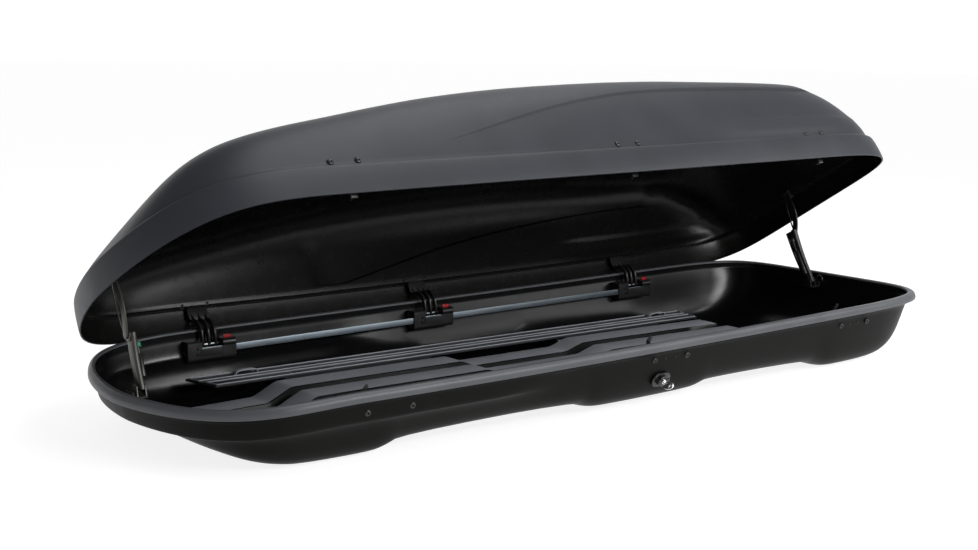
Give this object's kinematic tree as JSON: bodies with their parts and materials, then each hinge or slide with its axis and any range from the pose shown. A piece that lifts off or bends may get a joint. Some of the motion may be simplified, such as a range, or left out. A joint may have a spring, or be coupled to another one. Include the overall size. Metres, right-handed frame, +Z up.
{
  "type": "roof cargo box",
  "caption": "Long roof cargo box: rimmed tub and domed lid hinged along one side, with lifters, latch units, keyed turn knob and floor rails.",
  "frame": {"origin": "centre of the four clamp slots in the tub floor, 10 mm below the middle of the rails' plates", "axes": "+X along the length towards the tail, nose at -X; -Y is the side that opens (lock side), +Y the hinge side; +Z up"},
  "size_m": [2.206, 0.8531, 0.7236],
  "materials": {
    "tub_plastic": "fine-grained satin black thermoplastic",
    "lid_plastic": "satin dark grey-blue thermoplastic outside, glossy black inside",
    "rail_plastic": "satin",
    "housing_plastic": "satin moulded",
    "bar_steel": "zinc plated, satin",
    "latch_steel": "black coated",
    "pin_steel": "turned",
    "indicator_red": "moulded",
    "screw_black": "black coated",
    "lock_chrome": "polished",
    "lock_plastic": "moulded",
    "arm_metal": "satin coated",
    "strut_metal": "gloss coated",
    "brass": "satin"
  },
  "bodies": {
    "tub": {"tub_shell": "tub_plastic", "rail_near": "rail_plastic", "rail_far": "rail_plastic", "latch_housing_1": "housing_plastic", "latch_housing_2": "housing_plastic", "latch_housing_3": "housing_plastic", "hinge_housing_1": "housing_plastic", "hinge_housing_2": "housing_plastic", "hinge_housing_3": "housing_plastic", "lock_bar_far": "bar_steel", "claw_pins": "pin_steel", "hinge_pin_1": "pin_steel", "hinge_pin_2": "pin_steel", "hinge_pin_3": "pin_steel", "indicator_1": "indicator_red", "indicator_2": "indicator_red", "indicator_3": "indicator_red", "tub_screws_near": "screw_black", "tub_screws_far": "screw_black", "lock_bezel": "lock_plastic", "front_foot": "arm_metal", "rear_foot": "arm_metal"},
    "lid": {"lid_shell": "lid_plastic", "striker_1": "latch_steel", "striker_2": "latch_steel", "striker_3": "latch_steel", "hinge_arms_1": "latch_steel", "hinge_arms_2": "latch_steel", "hinge_arms_3": "latch_steel", "lid_screws_near": "screw_black", "lid_screws_far": "screw_black", "front_lid_bracket": "arm_metal", "rear_lid_bracket": "arm_metal"},
    "knob": {"lock_knob": "lock_plastic"},
    "lock_core": {"key_cylinder": "lock_chrome", "key": "lock_chrome"},
    "near_bar": {"lock_bar_near": "bar_steel"},
    "claw_a": {"claw_1": "bar_steel"},
    "claw_b": {"claw_2": "bar_steel"},
    "claw_c": {"claw_3": "bar_steel"},
    "front_lower": {"front_lower_arm": "arm_metal", "front_strut": "strut_metal", "front_rivets": "brass"},
    "front_upper": {"front_upper_arm": "arm_metal"},
    "rear_lower": {"rear_lower_arm": "arm_metal", "rear_strut": "strut_metal", "rear_rivets": "brass"},
    "rear_upper": {"rear_upper_arm": "arm_metal"}
  },
  "joints": [
    {"name": "lid_hinge", "type": "hinge", "parent": "tub", "child": "lid", "pos_m": [0, 0.338, 0.082], "axis": [1, 0, 0], "range_deg": [0, 31.5]},
    {"name": "front_lower_turn", "type": "hinge", "parent": "tub", "child": "front_lower", "pos_m": [-1.042, 0.02, 0.09], "axis": [1, 0, 0], "range_deg": [-85.8, 0]},
    {"name": "front_upper_turn", "type": "hinge", "parent": "lid", "child": "front_upper", "pos_m": [-1.042, 0.11614, 0.30944], "axis": [1, 0, 0], "range_deg": [0, 39.3]},
    {"name": "rear_lower_turn", "type": "hinge", "parent": "tub", "child": "rear_lower", "pos_m": [1.048, 0.02, 0.099], "axis": [1, 0, 0], "range_deg": [-29.8, 0]},
    {"name": "rear_upper_turn", "type": "hinge", "parent": "lid", "child": "rear_upper", "pos_m": [1.048, 0.13129, 0.33416], "axis": [1, 0, 0], "range_deg": [0, 70.5]},
    {"name": "knob_turn", "type": "hinge", "parent": "tub", "child": "knob", "pos_m": [0.06, -0.344, 0.021], "axis": [0, -0.9397, -0.342], "range_deg": [0, 90]},
    {"name": "key_turn", "type": "hinge", "parent": "knob", "child": "lock_core", "pos_m": [0.06, -0.344, 0.021], "axis": [0, -0.9397, -0.342], "range_deg": [0, 90]},
    {"name": "near_bar_slide", "type": "slide", "parent": "tub", "child": "near_bar", "axis": [1, 0, 0], "range_m": [0, 0.016]},
    {"name": "claw_a_turn", "type": "hinge", "parent": "tub", "child": "claw_a", "pos_m": [-0.702, -0.338, 0.068], "axis": [0, 1, 0], "range_deg": [0, 50]},
    {"name": "claw_b_turn", "type": "hinge", "parent": "tub", "child": "claw_b", "pos_m": [0.068, -0.338, 0.068], "axis": [0, 1, 0], "range_deg": [0, 50]},
    {"name": "claw_c_turn", "type": "hinge", "parent": "tub", "child": "claw_c", "pos_m": [0.733, -0.338, 0.068], "axis": [0, 1, 0], "range_deg": [0, 50]}
  ],
  "couplings": [
    {"joint": "front_lower_turn", "follows": "lid_hinge", "ratio": -2.7192},
    {"joint": "front_upper_turn", "follows": "lid_hinge", "ratio": 1.2416},
    {"joint": "rear_lower_turn", "follows": "lid_hinge", "ratio": -0.94106},
    {"joint": "rear_upper_turn", "follows": "lid_hinge", "ratio": 2.2324},
    {"joint": "knob_turn", "follows": "near_bar_slide", "rad_per_m": 98.175},
    {"joint": "claw_a_turn", "follows": "near_bar_slide", "rad_per_m": 54.541},
    {"joint": "claw_b_turn", "follows": "near_bar_slide", "rad_per_m": 54.541},
    {"joint": "claw_c_turn", "follows": "near_bar_slide", "rad_per_m": 54.541}
  ]
}
